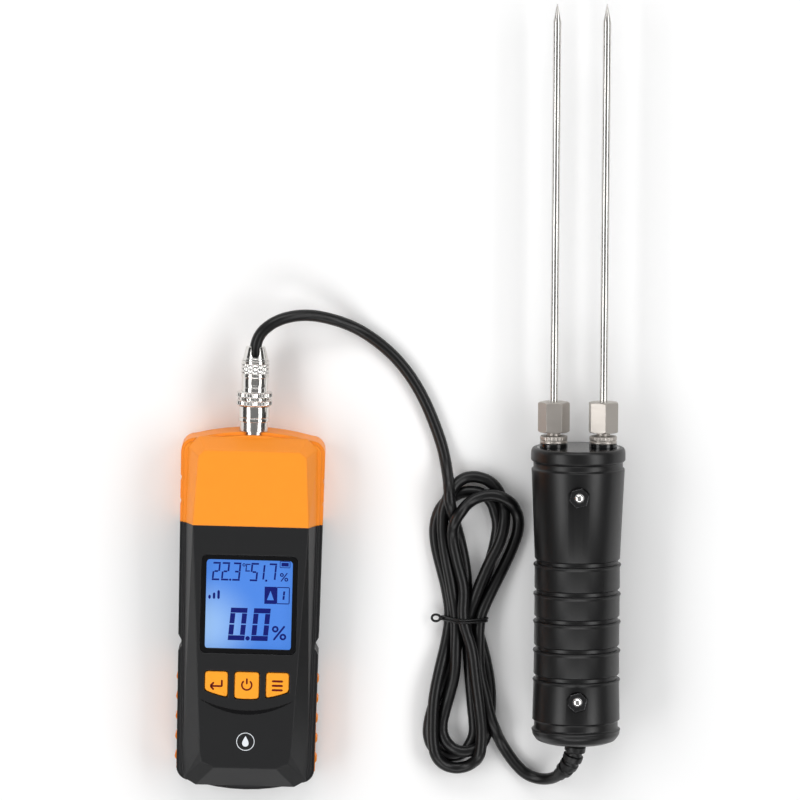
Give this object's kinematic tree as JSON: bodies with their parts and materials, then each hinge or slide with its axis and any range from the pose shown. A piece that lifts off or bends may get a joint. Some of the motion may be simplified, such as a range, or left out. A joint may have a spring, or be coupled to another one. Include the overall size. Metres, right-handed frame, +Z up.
{
  "type": "grain moisture meter",
  "caption": "Hand-held moisture meter with a backlit display and soft keys, joined by a plug-in lead to a two-needle grain probe.",
  "frame": {"origin": "centre of the outline of the meter and probe as laid out, on the table plane", "axes": "+X from the meter towards the probe, +Y along the needles towards their points, +Z up from the table, out of the display"},
  "size_m": [0.2002, 0.352, 0.0464],
  "materials": {
    "case_black": "satin moulded ABS, near black",
    "cap_orange": "satin orange ABS",
    "grip_orange": "soft orange elastomer",
    "key_orange": "silicone keys with printed symbols",
    "window_clear": "clear acrylic",
    "gasket_black": "black foam",
    "lcd_blue": "backlit liquid crystal glass",
    "light_white": "white diffuser",
    "frame_grey": "moulded holder",
    "rubber_grey": "silicone",
    "board_green": "solder-masked epoxy board",
    "part_black": "epoxy packages",
    "screw_steel": "zinc-plated",
    "cell_sleeve": "printed cell jacket",
    "contact_nickel": "nickel-plated spring steel",
    "plug_nickel": "bright nickel on brass",
    "insulator_ivory": "moulded insulator",
    "contact_gold": "gold-plated",
    "wire_red": "PVC-covered wire",
    "cord_black": "satin PVC sheath",
    "grip_black": "polished black phenolic",
    "needle_steel": "ground stainless steel",
    "nut_steel": "turned stainless steel",
    "nut_black": "blackened steel"
  },
  "bodies": {
    "meter": {"front_housing": "case_black", "rear_housing": "case_black", "top_cap": "cap_orange", "side_grip_left": "grip_orange", "side_grip_right": "grip_orange", "display_window": "window_clear", "window_gasket": "gasket_black", "lcd_panel": "lcd_blue", "backlight": "light_white", "lcd_frame": "frame_grey", "zebra_strip": "rubber_grey", "circuit_board": "board_green", "board_parts": "part_black", "board_screws": "screw_steel", "keypad_mat": "rubber_grey", "batteries": "cell_sleeve", "battery_contacts": "contact_nickel", "housing_screws": "screw_steel", "cap_screws": "screw_steel", "air_sensor": "light_white", "socket_shell": "plug_nickel", "socket_nut": "plug_nickel", "socket_insert": "insulator_ivory", "socket_leads": "wire_red"},
    "probe": {"plug_body": "plug_nickel", "plug_insert": "insulator_ivory", "plug_pins": "contact_gold", "plug_nut": "plug_nickel", "plug_clamp": "plug_nickel", "cord_lead": "cord_black", "cord_hank": "cord_black", "cord_tie": "cord_black", "cord_tail": "cord_black", "strain_relief": "cord_black", "grip_shell": "grip_black", "grip_face": "grip_black", "electrode_block": "insulator_ivory", "cord_anchor": "insulator_ivory", "probe_leads": "wire_red", "electrode_collars": "grip_black", "electrode_locknuts": "nut_steel", "electrode_stems": "nut_steel", "solder_lugs": "contact_gold", "needle_left": "needle_steel", "needle_right": "needle_steel", "grip_studs": "screw_steel", "grip_nuts": "nut_black"},
    "enter_key": {"key_enter": "key_orange"},
    "power_key": {"key_power": "key_orange"},
    "set_key": {"key_set": "key_orange"},
    "door": {"battery_door": "case_black"},
    "ring": {"coupling_ring": "plug_nickel"},
    "left_nut": {"clamp_nut_left": "nut_steel"},
    "right_nut": {"clamp_nut_right": "nut_steel"}
  },
  "joints": [
    {"name": "enter_press", "type": "slide", "parent": "meter", "child": "enter_key", "axis": [0, 0, -1], "range_m": [0, 0.0008], "stiffness_N_per_m": 800},
    {"name": "power_press", "type": "slide", "parent": "meter", "child": "power_key", "axis": [0, 0, -1], "range_m": [0, 0.0008], "stiffness_N_per_m": 800},
    {"name": "set_press", "type": "slide", "parent": "meter", "child": "set_key", "axis": [0, 0, -1], "range_m": [0, 0.0008], "stiffness_N_per_m": 800},
    {"name": "door_slide", "type": "slide", "parent": "meter", "child": "door", "axis": [-0.0209, -0.9998, 0], "range_m": [0, 0.062]},
    {"name": "plug_pull", "type": "slide", "parent": "meter", "child": "probe", "axis": [0.0209, 0.9998, 0], "range_m": [0, 0.014]},
    {"name": "ring_pull", "type": "slide", "parent": "probe", "child": "ring", "axis": [0.0209, 0.9998, 0], "range_m": [0, 0.002], "stiffness_N_per_m": 1500},
    {"name": "left_nut_turn", "type": "hinge", "parent": "probe", "child": "left_nut", "pos_m": [0.068, -0.0075, 0.021], "axis": [0, 1, 0], "continuous": true},
    {"name": "right_nut_turn", "type": "hinge", "parent": "probe", "child": "right_nut", "pos_m": [0.09, -0.0075, 0.021], "axis": [0, 1, 0], "continuous": true}
  ]
}
